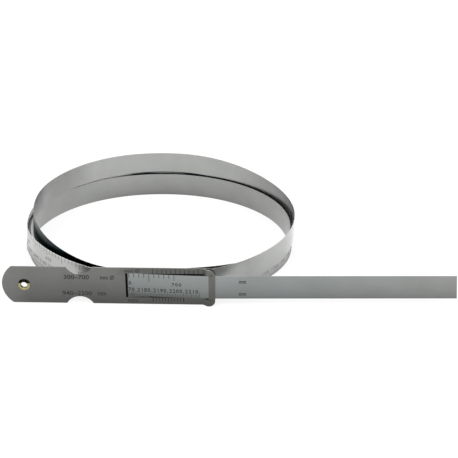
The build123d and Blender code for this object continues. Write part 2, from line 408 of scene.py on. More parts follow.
def bridging(start, start_way, end, end_way, pull, start_lean=0.0, end_lean=0.0):
    """A smooth stretch from one place and direction to another."""
    arm = np.linalg.norm(end - start) * pull
    first, second = start + start_way * arm, end - end_way * arm

    def curve(share):
        rest = 1 - share
        point = start * rest**3 + first * 3 * rest * rest * share
        point = point + second * 3 * rest * share * share + end * share**3
        lean = start_lean + (end_lean - start_lean) * ease(min(1.0, max(0.0, share)))
        return point, lean

    return curve


def band_route():
    """The stretches of the band in order, each with the places it runs between."""
    ahead = np.array([1.0, 0.0, 0.0])
    weld_y = PLATE_THICKNESS + BACKING_THICKNESS + TAPE_THICKNESS / 2
    weld_start = np.array([HEAD_LENGTH - BACKING_LENGTH + WELD_MARGIN, weld_y, FRONT_LEVELS[0]])
    weld_end = weld_start + ahead * WELD_LENGTH
    level = TAPE_MIDDLE - HALF_WIDTH
    entry = np.array([WINDOW_START, PLATE_THICKNESS + ENTRY_GAP + TAPE_THICKNESS / 2, level])
    entry_way = unit(np.array([1.0, -ENTRY_SLOPE, 0.0]))
    bridge_y = PLATE_THICKNESS - BRIDGE_RISE + BRIDGE_GAP + TAPE_THICKNESS / 2
    under = np.array([HEAD_LENGTH - BRIDGE_WIDTH + BRIDGE_GAP, bridge_y, level])
    turned = math.radians(TONGUE_ANGLE)
    tongue_way = np.array([math.cos(turned), math.sin(turned), 0.0])
    tongue_start = under + (ahead + tongue_way) * BEND_LENGTH / 2
    tongue_end = tongue_start + tongue_way * TONGUE_LENGTH
    first, first_lean = coil_point(LEAVE_QUARTER)
    last, last_lean = coil_point(JOIN_QUARTER)
    first_way, last_way = heading(coil_point, LEAVE_QUARTER), heading(coil_point, JOIN_QUARTER)
    return [
        (straight(weld_start, weld_end), 0, 1),
        (bridging(weld_end, ahead, first, first_way, LEAVE_EASE, 0.0, first_lean), 0, 1),
        (coil_point, LEAVE_QUARTER, JOIN_QUARTER),
        (bridging(last, last_way, entry, entry_way, JOIN_EASE, last_lean, 0.0), 0, 1),
        (bridging(entry, entry_way, under, ahead, JOIN_EASE), 0, 1),
        (bridging(under, ahead, tongue_start, tongue_way, BEND_EASE), 0, 1),
        (straight(tongue_start, tongue_end), 0, 1),
    ]


# %% [markdown]
# The route is sampled about once a millimetre. At each station the line through the middle
# of the band is kept, with two directions: up across its width, and outwards from its face.
# Each station also knows how many quarter turns it is along: the window is from 16 to 17.

# %% The line through the middle of the band
STATION = 1.0
ROUGH_STEPS = 200
# the quarter at which each stretch of the route starts, and at which the last one ends
ROUTE_MARKS = [-1, 0, LEAVE_QUARTER, JOIN_QUARTER, 16, 17, 17.1, 18.1]
WINDOW_QUARTER, BRIDGE_QUARTER, TONGUE_QUARTER, END_QUARTER = ROUTE_MARKS[4:]


def stations(route):
    """The middles, the two directions and the quarters of all the stations."""
    middles, ups, outs, quarters = [], [], [], []
    for index, (curve, start, end) in enumerate(route):
        first_mark, last_mark = ROUTE_MARKS[index : index + 2]
        places = [start + (end - start) * i / ROUGH_STEPS for i in range(ROUGH_STEPS + 1)]
        rough = [curve(place)[0] for place in places]
        length = sum(np.linalg.norm(b - a) for a, b in zip(rough, rough[1:]))
        count = max(2, math.ceil(length / STATION))
        for i in range(count + (index == len(route) - 1)):
            place = start + (end - start) * i / count
            point, lean = curve(place)
            way = heading(curve, place)
            inwards = unit(np.array([-way[1], way[0], 0.0]))
            tilt = math.radians(lean)
            up = inwards * math.sin(tilt) + np.array([0.0, 0.0, math.cos(tilt)])
            up = unit(up - way * (up @ way))
            out = unit(np.cross(way, up))
            foot = point + inwards * math.tan(tilt) * point[2]
            foot[2] += abs(math.sin(tilt)) * TAPE_THICKNESS / 2
            middles.append(foot + up * HALF_WIDTH)
            ups.append(up)
            outs.append(out)
            quarters.append(first_mark + (last_mark - first_mark) * i / count)
    return np.array(middles), np.array(ups), np.array(outs), np.array(quarters)


MIDDLES, UPS, OUTS, QUARTERS = stations(band_route())
STEPS = np.linalg.norm(np.diff(MIDDLES, axis=0), axis=1)
ALONG = np.concatenate([[0.0], np.cumsum(STEPS)])
print("band length, mm:", round(ALONG[-1], 1), "stations:", len(ALONG))

# %% [markdown]
# Geometry Nodes build what follows the band. Each helper below adds one common step, such
# as a sum or a value kept on the mesh. The last ones put finished trees on an object and
# turn the result into a plain mesh.


# %% Helpers for Geometry Nodes
def new_tree(name, **sockets):
    """An empty tree with a geometry in and out, and other inputs by their kind."""
    tree = bpy.data.node_groups.new(name, "GeometryNodeTree")
    tree.interface.new_socket("Geometry", in_out="OUTPUT", socket_type="NodeSocketGeometry")
    for kind, names in {"Geometry": ["Geometry"], **sockets}.items():
        for each in names:
            tree.interface.new_socket(each, in_out="INPUT", socket_type="NodeSocket" + kind)
    return tree, tree.nodes.new("NodeGroupInput").outputs


def step(tree, kind, inputs=None, **settings):
    """Adds a node and returns its first output."""
    return add_node(tree, kind, inputs, **settings)[0]


def calc(tree, operation, *values):
    """One step of arithmetic."""
    return step(tree, "ShaderNodeMath", dict(enumerate(values)), operation=operation)


def above(tree, value, limit):
    """True where a value is above a limit."""
    return step(tree, "FunctionNodeCompare", {0: value, 1: limit}, operation="GREATER_THAN")


def parts_of(tree, vector):
    """The X, Y and Z of a vector."""
    return add_node(tree, "ShaderNodeSeparateXYZ", {0: vector})


def vector_of(tree, x, y, z=0.0):
    """A vector with this X, Y and Z."""
    return step(tree, "ShaderNodeCombineXYZ", {"X": x, "Y": y, "Z": z})


def scaled(tree, vector, scale):
    """A vector made longer or shorter."""
    return step(tree, "ShaderNodeVectorMath", {0: vector, "Scale": scale}, operation="SCALE")


def summed(tree, first, second):
    """The sum of two vectors."""
    return step(tree, "ShaderNodeVectorMath", {0: first, 1: second}, operation="ADD")


def keep(tree, geometry, name, value, kind="FLOAT", domain="POINT"):
    """Keeps a value on the geometry under a name."""
    inputs = {"Geometry": geometry, "Name": name, "Value": value}
    return step(tree, "GeometryNodeStoreNamedAttribute", inputs, data_type=kind, domain=domain)


def kept(tree, name, kind="FLOAT"):
    """Reads the value that was kept under a name."""
    return step(tree, "GeometryNodeInputNamedAttribute", {"Name": name}, data_type=kind)


def moved(tree, geometry, **inputs):
    """Moves points to a position, or by an offset."""
    return step(tree, "GeometryNodeSetPosition", {"Geometry": geometry, **inputs})


def close_tree(tree, geometry, material):
    """Ends a tree in real geometry with its material."""
    real = step(tree, "GeometryNodeRealizeInstances", {"Geometry": geometry})
    shown = step(tree, "GeometryNodeSetMaterial", {"Geometry": real, "Material": material})
    tree.links.new(shown, tree.nodes.new("NodeGroupOutput").inputs[0])
    return tree


def plain_mesh(holder):
    """An object's finished shape as a mesh of its own."""
    depsgraph = bpy.context.evaluated_depsgraph_get()
    return bpy.data.meshes.new_from_object(holder.evaluated_get(depsgraph))


def extent(mesh):
    """The lowest and the highest corner of a mesh."""
    corners = np.array([vertex.co for vertex in mesh.vertices])
    return corners.min(axis=0), corners.max(axis=0)


def grown(name, base, layers):
    """A new object: the trees with their inputs on a base mesh, turned into a plain mesh."""
    holder = added(name, base)
    for tree, values in layers:
        modifier = holder.modifiers.new(tree.name, "NODES")
        modifier.node_group = tree
        for item in tree.interface.items_tree:
            if item.in_out == "INPUT" and item.name in values:
                modifier[item.identifier] = values[item.name]
    plain = plain_mesh(holder)
    plain.name = name
    holder.modifiers.clear()
    holder.data = plain
    print(name, "faces:", len(plain.polygons))
    return holder


def give(mesh, name, values):
    """Gives each point of a mesh its number or its vector under a name."""
    kind, field = ("FLOAT", "value") if values.ndim == 1 else ("FLOAT_VECTOR", "vector")
    mesh.attributes.new(name, kind, "POINT").data.foreach_set(field, values.ravel())


# %% [markdown]
# The band's steel is cold rolled and lightly polished along its length, so its grain is very
# long and fine, and it mirrors its surroundings softly. The pattern is laid out in the
# band's own coordinates, along and across, because the strip is bent into a coil.

# %% Spring steel
BAND_COLOUR = (0.398, 0.405, 0.394, 1.0)
BAND_COLOUR_WORN = (0.455, 0.462, 0.452, 1.0)
COOL_TINT = (0.96, 1.0, 1.015, 1.0)
BAND_ROUGHNESS = 0.30
BAND_GRAIN = (40.0, 9000.0, 1.0)
# the noise of each kind of wear: its scale, its detail and how rough it is
STREAKS, PATCHES, SMUDGES = (1.0, 4.0, 0.65), (45.0, 3.0, 0.55), (160.0, 4.0, 0.6)
STREAK_SHARE, PATCH_SHARE = 0.6, 0.4
WEAR_LIMITS, SMUDGE_LIMITS = (0.38, 0.62), (0.45, 0.75)
SMUDGE_DULLNESS, STREAK_DULLNESS = 0.10, 0.08
GRAIN_STRENGTH, GRAIN_DEPTH = 0.02, 0.0002


def own_map(shader):
    """The band's own coordinates, along and across it."""
    return shader.node("ShaderNodeUVMap", uv_map="UVMap")


def object_place(shader):
    """The place in the scene, for pieces that are not bent."""
    coordinates = shader.node("ShaderNodeTexCoord").output.node
    return Socket(shader, coordinates.outputs["Object"])


def brushed(name, dull, bright, base_roughness, grain, painted_light_of, place_of=object_place):
    """Metal rubbed in one direction: fine streaks, soft patches and faint smudges."""
    material = bpy.data.materials.new(name)
    shader = Shader(material)
    place = place_of(shader)
    streaks = shader.noise(shader.stretched(place, grain), *STREAKS)
    patches = shader.noise(place, *PATCHES)
    smudges = shader.noise(place, *SMUDGES)
    wear = (streaks * STREAK_SHARE + patches * PATCH_SHARE).clamped()
    colour = shader.mix(shader.ramp(wear, *WEAR_LIMITS), dull, bright)
    # the colour is multiplied by the finish's painted light and shade
    colour = shader.times(colour, painted_light_of(shader))
    roughness = base_roughness + SMUDGE_DULLNESS * shader.ramp(smudges, *SMUDGE_LIMITS)
    roughness = roughness + STREAK_DULLNESS * (streaks - 0.5)
    relief = {"Strength": GRAIN_STRENGTH, "Distance": GRAIN_DEPTH, "Height": streaks}
    normal = shader.node("ShaderNodeBump", relief)
    finish = {"Base Color": colour, "Metallic": 1.0, "Roughness": roughness, "Normal": normal}
    shader.finish(shader.node("ShaderNodeBsdfPrincipled", finish))
    return material


# %% [markdown]
# Bright steel takes its tone from what it faces, and here that light and shade is painted into
# its colour. Turned to the open side it is painted pale, low in the coil it carries a painted
# reflection of the dull table, and where two turns lie close the painted shade between them is
# nearly black. The tables give that painted light and shade along the band for each face, at
# its upper and its lower edge, by the same count of quarter turns as the coil.

# %% The band's painted light and shade along its length: quarter, upper edge, lower edge
INSIDE_PAINTED_LIGHT = [
    (0.8, 0.50, 1.20), (1.2, 0.50, 0.80), (1.4, 0.72, 0.62), (1.6, 0.95, 0.84),
    (2.42, 1.04, 0.92), (2.6, 0.72, 0.70), (2.82, 0.72, 0.75), (2.86, 0.92, 0.90),
    (2.9, 0.42, 0.60), (3.05, 0.42, 0.60), (3.2, 0.70, 0.70), (5.0, 0.75, 1.00),
    (5.5, 0.77, 0.50), (6.0, 0.86, 0.38), (6.3, 0.88, 0.46), (6.6, 0.74, 0.76),
    (7.1, 0.80, 0.90), (7.4, 0.03, 0.03), (10.2, 0.03, 0.03), (10.35, 1.80, 1.80),
    (11.4, 1.80, 1.80), (11.6, 0.03, 0.03), (14.2, 0.03, 0.03), (14.35, 1.50, 2.30),
    (14.7, 1.10, 2.30), (15.2, 1.10, 2.30), (15.35, 0.03, 0.03), (16.0, 0.03, 0.03),
    (16.1, 0.50, 0.50), (18.1, 0.60, 0.60),
]
OUTSIDE_PAINTED_LIGHT = [
    (0.0, 0.90, 0.60), (0.3, 1.25, 1.00), (0.5, 0.92, 0.75), (0.8, 1.22, 0.98),
    (0.95, 1.95, 1.90), (1.1, 1.95, 1.90), (1.3, 0.90, 0.90), (2.6, 0.60, 0.60),
    (2.9, 0.60, 0.60), (3.05, 0.06, 0.40), (3.2, 0.03, 0.50), (3.45, 0.03, 0.35),
    (3.95, 0.02, 0.20), (4.02, 0.80, 0.80), (4.9, 0.90, 0.90), (12.2, 0.95, 0.85),
    (12.6, 1.00, 0.88), (14.8, 0.80, 0.80), (15.05, 1.90, 1.80), (15.2, 1.45, 1.30),
    (15.36, 1.15, 1.02), (15.6, 1.12, 1.02), (15.69, 1.30, 1.40), (15.72, 1.30, 1.40),
    (15.75, 0.75, 0.75), (15.8, 0.50, 0.50), (15.95, 0.50, 0.50), (16.02, 0.72, 0.72),
    (16.03, 0.72, 0.03), (16.07, 0.70, 0.24), (18.1, 0.72, 0.42),
]
HEIGHT_CURVE = 0.5
SIDE_LIMIT = 0.1
# each stretch of quarters has the start and end of its rise, then those of its fall
HEM_STRETCH, HEM_SHARE, HEM_SHADE_LEVEL = (1.15, 1.25, 2.1, 2.25), 0.045, 0.02
HEM_SOFTNESS = 1.3
RIM_STRETCH, RIM_SHARES, RIM_HIGHLIGHT_LEVEL = (14.9, 15.1, 15.85, 15.95), (0.96, 0.97), 1.7
COOL_STRETCH = (15.9, 16.0, 17.4, 18.1)
DEEP_SHADE_TINT = (0.5, 1.0, 1.1, 1.0)
DEEP_TONES, DEEP_QUARTERS = (0.25, 0.08), (15.9, 15.8)


def band_tone(shader):
    """The painted light and shade at a place: by quarter, by side, and from the lower to the upper
    edge.
    """
    quarter = shader.attribute("quarter")
    height = shader.ramp(shader.attribute("across"), -HALF_WIDTH * MM, HALF_WIDTH * MM)
    outside = shader.ramp(shader.attribute("side"), -SIDE_LIMIT, SIDE_LIMIT)
    faces = []
    for rows in (INSIDE_PAINTED_LIGHT, OUTSIDE_PAINTED_LIGHT):
        upper = shader.profile(quarter, [(place, level) for place, level, _ in rows])
        lower = shader.profile(quarter, [(place, level) for place, _, level in rows])
        faces.append(shader.mix(height**HEIGHT_CURVE, lower, upper))
    # painted shade on the back wall's hem, next to the slit between it and the turn in front
    hem_shade = shader.ramp(height, HEM_SHARE * HEM_SOFTNESS, HEM_SHARE)
    hem_shade = shader.between(quarter, *HEM_STRETCH) * hem_shade
    faces[0] = shader.mix(hem_shade, faces[0], grey(HEM_SHADE_LEVEL))
    tone = shader.mix(outside, *faces)
    # a painted highlight: the last turn's rounded upper edge shows as a thin light line
    rim_highlight = shader.between(quarter, *RIM_STRETCH) * shader.ramp(height, *RIM_SHARES)
    tone = shader.mix(rim_highlight, tone, grey(RIM_HIGHLIGHT_LEVEL))
    # the tongue is a little cooler, and the deepest painted shade of the coil is tinted bluish
    # green
    tint = shader.mix(shader.between(quarter, *COOL_STRETCH), grey(1.0), COOL_TINT)
    in_shade = shader.ramp(tone, *DEEP_TONES) * shader.ramp(quarter, *DEEP_QUARTERS)
    return shader.times(tone, shader.mix(in_shade, tint, DEEP_SHADE_TINT))


BAND_STEEL = brushed(
    "spring_steel", BAND_COLOUR, BAND_COLOUR_WORN, BAND_ROUGHNESS, BAND_GRAIN, band_tone, own_map
)
print("tones inside and outside:", len(INSIDE_PAINTED_LIGHT), len(OUTSIDE_PAINTED_LIGHT))

# %% [markdown]
# The band itself: a small flat section is swept along the line. The section's direction is
# given at every station, because the walls lean, and the corners of the section are eased as
# a slit and deburred strip's are.

# %% The tree that sweeps the band
EDGE_EASE, EDGE_STEPS = 0.06, 2
CREASE_ANGLE = math.radians(15)


def band_section(tree, given):
    """The flat section with eased corners, marked across and by side."""
    sizes = {"Width": given["Thickness"], "Height": given["Width"]}
    flat = step(tree, "GeometryNodeCurvePrimitiveQuadrilateral", sizes)
    corners = {"Curve": flat, "Radius": given["Edge"], "Count": EDGE_STEPS}
    eased = step(tree, "GeometryNodeFilletCurve", corners, mode="POLY")
    place = parts_of(tree, step(tree, "GeometryNodeInputPosition"))
    marked = keep(tree, eased, "across", calc(tree, "MULTIPLY", place["Y"], -1.0))
    return keep(tree, marked, "side", calc(tree, "DIVIDE", place["X"], given["Thickness"]))


def band_tree():
    """Sweeps the section, cuts the free end aslant and lays out the pattern."""
    sizes = ["Width", "Thickness", "Edge"]
    tree, given = new_tree("sweep_band", Float=sizes, Vector=["End Shift"])
    line = step(tree, "GeometryNodeMeshToCurve", {"Mesh": given["Geometry"]})
    facing = {"Curve": line, "Normal": kept(tree, "out", "FLOAT_VECTOR")}
    turned = step(tree, "GeometryNodeSetCurveNormal", facing, mode="FREE")
    length = add_node(tree, "GeometryNodeSplineParameter")["Length"]
    way = keep(tree, turned, "along", length)
    sweep = {"Curve": way, "Profile Curve": band_section(tree, given), "Fill Caps": True}
    swept = step(tree, "GeometryNodeCurveToMesh", sweep)
    across = kept(tree, "across")
    at_end = above(tree, kept(tree, "quarter"), END_QUARTER - NUDGE)
    below = calc(tree, "SUBTRACT", 0.5, calc(tree, "DIVIDE", across, given["Width"]))
    slant = scaled(tree, given["End Shift"], below)
    slanted = moved(tree, swept, Selection=at_end, Offset=slant)
    pattern = vector_of(tree, kept(tree, "along"), across)
    mapped = keep(tree, slanted, "UVMap", pattern, "FLOAT2", "CORNER")
    smooth = step(tree, "GeometryNodeSetShadeSmooth", {"Geometry": mapped}, domain="FACE")
    folded = above(tree, step(tree, "GeometryNodeInputMeshEdgeAngle"), CREASE_ANGLE)
    crease = {"Geometry": smooth, "Selection": folded, "Shade Smooth": False}
    creased = step(tree, "GeometryNodeSetShadeSmooth", crease, domain="EDGE")
    return close_tree(tree, creased, BAND_STEEL)


line_mesh = bpy.data.meshes.new("band_line")
line_edges = [(i, i + 1) for i in range(len(MIDDLES) - 1)]
line_mesh.from_pydata(placed(MIDDLES).tolist(), line_edges, [])
give(line_mesh, "up", UPS)
give(line_mesh, "out", OUTS)
give(line_mesh, "quarter", QUARTERS)
band_sizes = {
    "Width": TAPE_WIDTH * MM,
    "Thickness": TAPE_THICKNESS * MM,
    "Edge": EDGE_EASE * MM,
    "End Shift": list(unit(MIDDLES[-1] - MIDDLES[-2]) * TONGUE_END_SLANT * MM),
}
band = grown("measuring_band", line_mesh.copy(), [(band_tree(), band_sizes)])

# %% Each piece rides on the one body
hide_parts("measuring_tape")
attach(band, "root")
band_box = (np.array(extent(band.data)) - HEAD_CORNER) / MM
print("band box from the head's corner, mm:", np.round(band_box, 1).tolist())

# %% [markdown]
# The head is darker and greener than the band, with a fine grain along it. Its reflections are
# painted into its colour: paler near its top edge, where it faces the room's upper half, and
# darker near the bottom, where it faces the dull table, so its painted tone falls downwards and
# a little to the right. Painted shade darkens the rail above the window and a strip at its left
# end.

# %% The head's own steel
WINDOW_LOW, WINDOW_HIGH = 4.75, 21.75
UPPER_EDGE_LEVEL = 1.08
LOWER_EDGE_FALL, BOWED_END_LIFT, FALL_CURVE = 0.5, 0.3, 1.6
BOWED_END = (18.0, 6.0)
RIGHT_END_FALL = 0.26
# painted shade on the rail above the window, and a painted shadow strip at the window's left end
RAIL_SHADE_FALL, RAIL_HEIGHTS = 0.28, (WINDOW_HIGH - 3.0, WINDOW_HIGH + 1.0)
RAIL_STRETCH = (WINDOW_START - 8.0, WINDOW_START + 4.0, HEAD_LENGTH - 6.5, HEAD_LENGTH - 4.5)
WINDOW_SHADOW_FALL, WINDOW_SHADOW_HEIGHTS = 0.97, (WINDOW_LOW - 0.1, WINDOW_LOW, WINDOW_HIGH, WINDOW_HIGH + 0.1)
WINDOW_SHADOW_STRETCH = (WINDOW_START - 1.2, WINDOW_START - 1.1, WINDOW_START + 0.1, WINDOW_START + 0.2)
# the backing's painted shade where it shows past the band, and its bare steel under the bridge
BACKING_SHADE, BACKING_BARE, BARE_STRETCH = 0.04, 0.75, (HEAD_LENGTH - 8.0, HEAD_LENGTH - 7.0)
EYELET_X, EYELET_Z = 13.9, HEAD_HEIGHT / 2
# painted dark reflection on the eyelet's upper rim, and painted shade in its bore
EYELET_TOP, EYELET_TOP_FALL = (0.9, 1.8), 0.98
BORE_EDGE, BORE_FALL = (2.25, 2.1), 0.75


def head_place(shader, axis):
    """The distance from the head's corner along one axis, in millimetres."""
    part = shader.node("ShaderNodeSeparateXYZ", {0: object_place(shader)}, axis)
    return (part - float(HEAD_CORNER[axis])) / MM


def head_tone(shader):
    """Painted reflection and shade: paler at the upper edge, darker downwards, to the right and
    close to the window.
    """
    x, z = head_place(shader, 0), head_place(shader, 2)
    # the lower edge's painted reflection of the dark, less so at the bowed end
    depth = LOWER_EDGE_FALL - BOWED_END_LIFT * shader.ramp(x, *BOWED_END)
    fall = 1.0 - depth * (1.0 - shader.ramp(z, 0.0, HEAD_HEIGHT)) ** FALL_CURVE
    # painted shade on the rail above the window
    rail = shader.between(x, *RAIL_STRETCH) * shader.ramp(z, *RAIL_HEIGHTS)
    fall = fall * (1.0 - RAIL_SHADE_FALL * rail)
    tone = fall * (UPPER_EDGE_LEVEL - RIGHT_END_FALL * shader.ramp(x, 0.0, HEAD_LENGTH))
    # painted shadow: a dark strip beside the window's left end
    window_shadow = shader.between(x, *WINDOW_SHADOW_STRETCH) * shader.between(z, *WINDOW_SHADOW_HEIGHTS)
    return tone * (1.0 - WINDOW_SHADOW_FALL * window_shadow)


def backing_tone(shader):
    """Painted shade, nearly black, where it is seen past the band in the window; bare steel under
    the bridge.
    """
    return BACKING_SHADE + BACKING_BARE * shader.ramp(head_place(shader, 0), *BARE_STRETCH)


def eyelet_tone(shader):
    """Painted shade and dark reflection where the rolled rim turns up towards its own shade, and
    painted shade inside the bore.
    """
    x, z = head_place(shader, 0) - EYELET_X, head_place(shader, 2) - EYELET_Z
    radius = (x * x + z * z) ** 0.5
    top_shade = EYELET_TOP_FALL * shader.ramp(z, *EYELET_TOP)
    return (1.0 - top_shade) * (1.0 - BORE_FALL * shader.ramp(radius, *BORE_EDGE))


HEAD_GRAIN = (40.0, 400.0, 9000.0)
RIVET_GRAIN, EYELET_GRAIN = (900.0, 900.0, 900.0), (1500.0, 1500.0, 1500.0)
# each finish: its dull and its bright colour, its roughness, its grain and its painted light and
# shade
FINISHES = {
    "head_steel": ((0.172, 0.176, 0.166, 1), (0.206, 0.210, 0.198, 1), 0.34, HEAD_GRAIN, head_tone),
    "backing_steel": (grey(0.17, 0.02), grey(0.20, 0.02), 0.4, HEAD_GRAIN, backing_tone),
    "rivet_steel": ((0.14, 0.14, 0.13, 1), (0.17, 0.17, 0.16, 1), 0.38, RIVET_GRAIN, head_tone),
    "eyelet_brass": ((0.34, 0.32, 0.16, 1), (0.42, 0.39, 0.21, 1), 0.3, EYELET_GRAIN, eyelet_tone),
}
PIECES_IN = {
    "head_steel": ["head_plate"],
    "backing_steel": ["backing_plate"],
    "rivet_steel": ["bridge_rivet_lower", "bridge_rivet_upper"],
    "eyelet_brass": ["hanging_eyelet"],
}
for finish, values in FINISHES.items():
    metal = brushed(finish, *values)
    for piece in PIECES_IN[finish]:
        for material_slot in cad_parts[piece].material_slots:
            material_slot.material = metal
    print(finish, "is the finish of", *PIECES_IN[finish])

# %% [markdown]
# The scales are etched and blackened. Ink drawn into a picture would blur, so each mark is a
# thin patch of its own just above the steel. A first tree lays the marks of a scale on a
# flat sheet: a row of points, a stretched square on each, longer at every fifth and tenth.

# %% Etched marks
INK_LIFT = 0.03
INK_DARK, INK_FADED, INK_POLISHED = grey(0.006), grey(0.02), grey(0.17)
INK_NOISE, INK_WEAR = (900.0, 3.0, 0.5), (0.35, 0.7)
INK_ROUGHNESS, INK_DULLNESS = 0.5, 0.2
# from the head's front towards the coil
INK_STRETCH = (2.5, 9.0)


def etched(name):
    """Blackened etching, a little worn and uneven, and rubbed paler on the coil."""
    material = bpy.data.materials.new(name)
    shader = Shader(material)
    wear = shader.ramp(shader.noise(object_place(shader), *INK_NOISE), *INK_WEAR)
    on_coil = shader.ramp(head_place(shader, 1), *INK_STRETCH)
    colour = shader.mix(on_coil, shader.mix(wear, INK_DARK, INK_FADED), INK_POLISHED)
    finish = {"Base Color": colour, "Roughness": INK_ROUGHNESS + INK_DULLNESS * wear}
    shader.finish(shader.node("ShaderNodeBsdfPrincipled", finish))
    return material


INK = etched("etched_black")


def row_of_points(tree, count, x, y):
    """Points on a flat sheet, each at its own X and Y."""
    line = step(tree, "GeometryNodeMeshLine", {"Count": count, "Offset": (0.0, 0.0, 0.0)})
    return moved(tree, line, Position=vector_of(tree, x, y))


def scale_tree():
    """A row of marks, the fifth and the tenth ones longer than the rest."""
    sizes = ["Start", "Pitch", "Base", "Hang", "Breadth", "Short", "Fifth", "Tenth"]
    tree, given = new_tree("scale_marks", Int=["Count", "First"], Float=sizes)
    index = step(tree, "GeometryNodeInputIndex")
    number = calc(tree, "ADD", index, given["First"])
    length = given["Short"]
    for every, shorter, longer in ((5.0, "Short", "Fifth"), (10.0, "Fifth", "Tenth")):
        hit = calc(tree, "LESS_THAN", calc(tree, "MODULO", number, every), 0.5)
        more = calc(tree, "SUBTRACT", given[longer], given[shorter])
        length = calc(tree, "MULTIPLY_ADD", hit, more, length)
    x = calc(tree, "MULTIPLY_ADD", index, given["Pitch"], given["Start"])
    middle = calc(tree, "SUBTRACT", 0.5, given["Hang"])
    y = calc(tree, "MULTIPLY_ADD", length, middle, given["Base"])
    square_sizes = {"Size X": 1.0, "Size Y": 1.0, "Vertices X": 2, "Vertices Y": 2}
    marks = {
        "Points": row_of_points(tree, given["Count"], x, y),
        "Instance": step(tree, "GeometryNodeMeshGrid", square_sizes),
        "Scale": vector_of(tree, given["Breadth"], length, 1.0),
    }
    return close_tree(tree, step(tree, "GeometryNodeInstanceOnPoints", marks), INK)


# %% [markdown]
# A second tree writes the numbers: each point works out its own digit from its place in the
# row, and picks that digit from a small set of letter shapes. Leading noughts are left out.

# %% Digits as letter shapes
LETTER_WEIGHT = 0.02
CURVE_STEPS = 4


def letters(text):
    """Text in the built-in letter shapes as a flat mesh, its middle at 0 along X."""
    curve = bpy.data.curves.new("letters", "FONT")
    curve.body = text
    curve.align_x = "CENTER"
    curve.offset = LETTER_WEIGHT
    curve.resolution_u = CURVE_STEPS
    holder = added("letters", curve)
    mesh = plain_mesh(holder)
    bpy.data.objects.remove(holder)
    return mesh


DIGITS = bpy.data.collections.new("digits")
digit_meshes = [letters(str(digit)) for digit in range(10)]
digit_low, digit_high = extent(digit_meshes[0])
DIGIT_SCALE = 1 / (digit_high[1] - digit_low[1])
to_middle = Matrix.Translation((0, -(digit_low[1] + digit_high[1]) / 2, 0))
for digit, mesh in enumerate(digit_meshes):
    mesh.transform(Matrix.Scale(DIGIT_SCALE, 4) @ to_middle)
    DIGITS.objects.link(bpy.data.objects.new(f"digit_{digit}", mesh))
print("digit triangles:", sum(len(mesh.polygons) for mesh in digit_meshes))


PLACES = 4.0
THREE_DIGITS_BELOW = 999.5
ROUNDING = 0.01


def number_tree():
    """A row of numbers, in which each point works out and shows one digit."""
    sizes = ["Start", "Pitch", "Base", "Spacing", "Breadth", "Height"]
    tree, given = new_tree("scale_numbers", Int=["Count", "First", "Step"], Float=sizes)
    index = step(tree, "GeometryNodeInputIndex")
    label = calc(tree, "FLOOR", calc(tree, "DIVIDE", index, PLACES))
    place = calc(tree, "MODULO", index, PLACES)
    number = calc(tree, "MULTIPLY_ADD", label, given["Step"], given["First"])
    power = calc(tree, "POWER", 10.0, calc(tree, "SUBTRACT", PLACES - 1.0, place))
    share = calc(tree, "DIVIDE", calc(tree, "ADD", number, ROUNDING), power)
    digit = calc(tree, "MODULO", calc(tree, "FLOOR", share), 10.0)
    # a number of three digits stands in the middle too, so it moves half a space
    three = calc(tree, "LESS_THAN", number, THREE_DIGITS_BELOW)
    shift = calc(tree, "SUBTRACT", place, (PLACES - 1.0) / 2)
    shift = calc(tree, "SUBTRACT", shift, calc(tree, "MULTIPLY", three, 0.5))
    x = calc(tree, "MULTIPLY_ADD", label, given["Pitch"], given["Start"])
    x = calc(tree, "MULTIPLY_ADD", shift, given["Spacing"], x)
    count = calc(tree, "MULTIPLY", given["Count"], PLACES)
    one_of_each = {"Collection": DIGITS, "Separate Children": True, "Reset Children": True}
    written = {
        "Points": row_of_points(tree, count, x, given["Base"]),
        "Selection": above(tree, calc(tree, "ADD", number, 0.5), power),
        "Instance": step(tree, "GeometryNodeCollectionInfo", one_of_each),
        "Pick Instance": True,
        "Instance Index": digit,
        "Scale": vector_of(tree, given["Breadth"], given["Height"], 1.0),
    }
    return close_tree(tree, step(tree, "GeometryNodeInstanceOnPoints", written), INK)


# %% [markdown]
# A third tree lays a flat sheet of marks on the band's outer face: X becomes the length
# along the line, Y the height across it. A fourth stands a sheet on the head's front face.

# %% Laying marks on the band and on the head
band_line = added("band_line", line_mesh)
band_line.hide_render = True


def wrap_tree():
    """Lays a flat sheet on the band's outer face."""
    tree, given = new_tree("lay_on_band", Object=["Line"], Float=["Lift"])
    source = add_node(tree, "GeometryNodeObjectInfo", {"Object": given["Line"]})
    line = step(tree, "GeometryNodeMeshToCurve", {"Mesh": source["Geometry"]})
    place = parts_of(tree, step(tree, "GeometryNodeInputPosition"))
    sampling = {"mode": "LENGTH", "use_all_curves": True, "data_type": "FLOAT_VECTOR"}
    sampled = []
    for name in ("up", "out"):
        value = kept(tree, name, "FLOAT_VECTOR")
        inputs = {"Curves": line, "Value": value, "Length": place["X"]}
        sampled.append(add_node(tree, "GeometryNodeSampleCurve", inputs, **sampling))
    up, out = sampled
    risen = scaled(tree, up["Value"], place["Y"])
    lifted = scaled(tree, out["Value"], given["Lift"])
    laid = summed(tree, up["Position"], summed(tree, risen, lifted))
    return close_tree(tree, moved(tree, given["Geometry"], Position=laid), INK)


def stand_tree():
    """Stands a flat sheet on the head's front face."""
    tree, given = new_tree("stand_on_head", Vector=["Corner"])
    upright = {"Geometry": given["Geometry"], "Translation": given["Corner"]}
    upright["Rotation"] = (math.pi / 2, 0.0, 0.0)
    return close_tree(tree, step(tree, "GeometryNodeTransform", upright), INK)


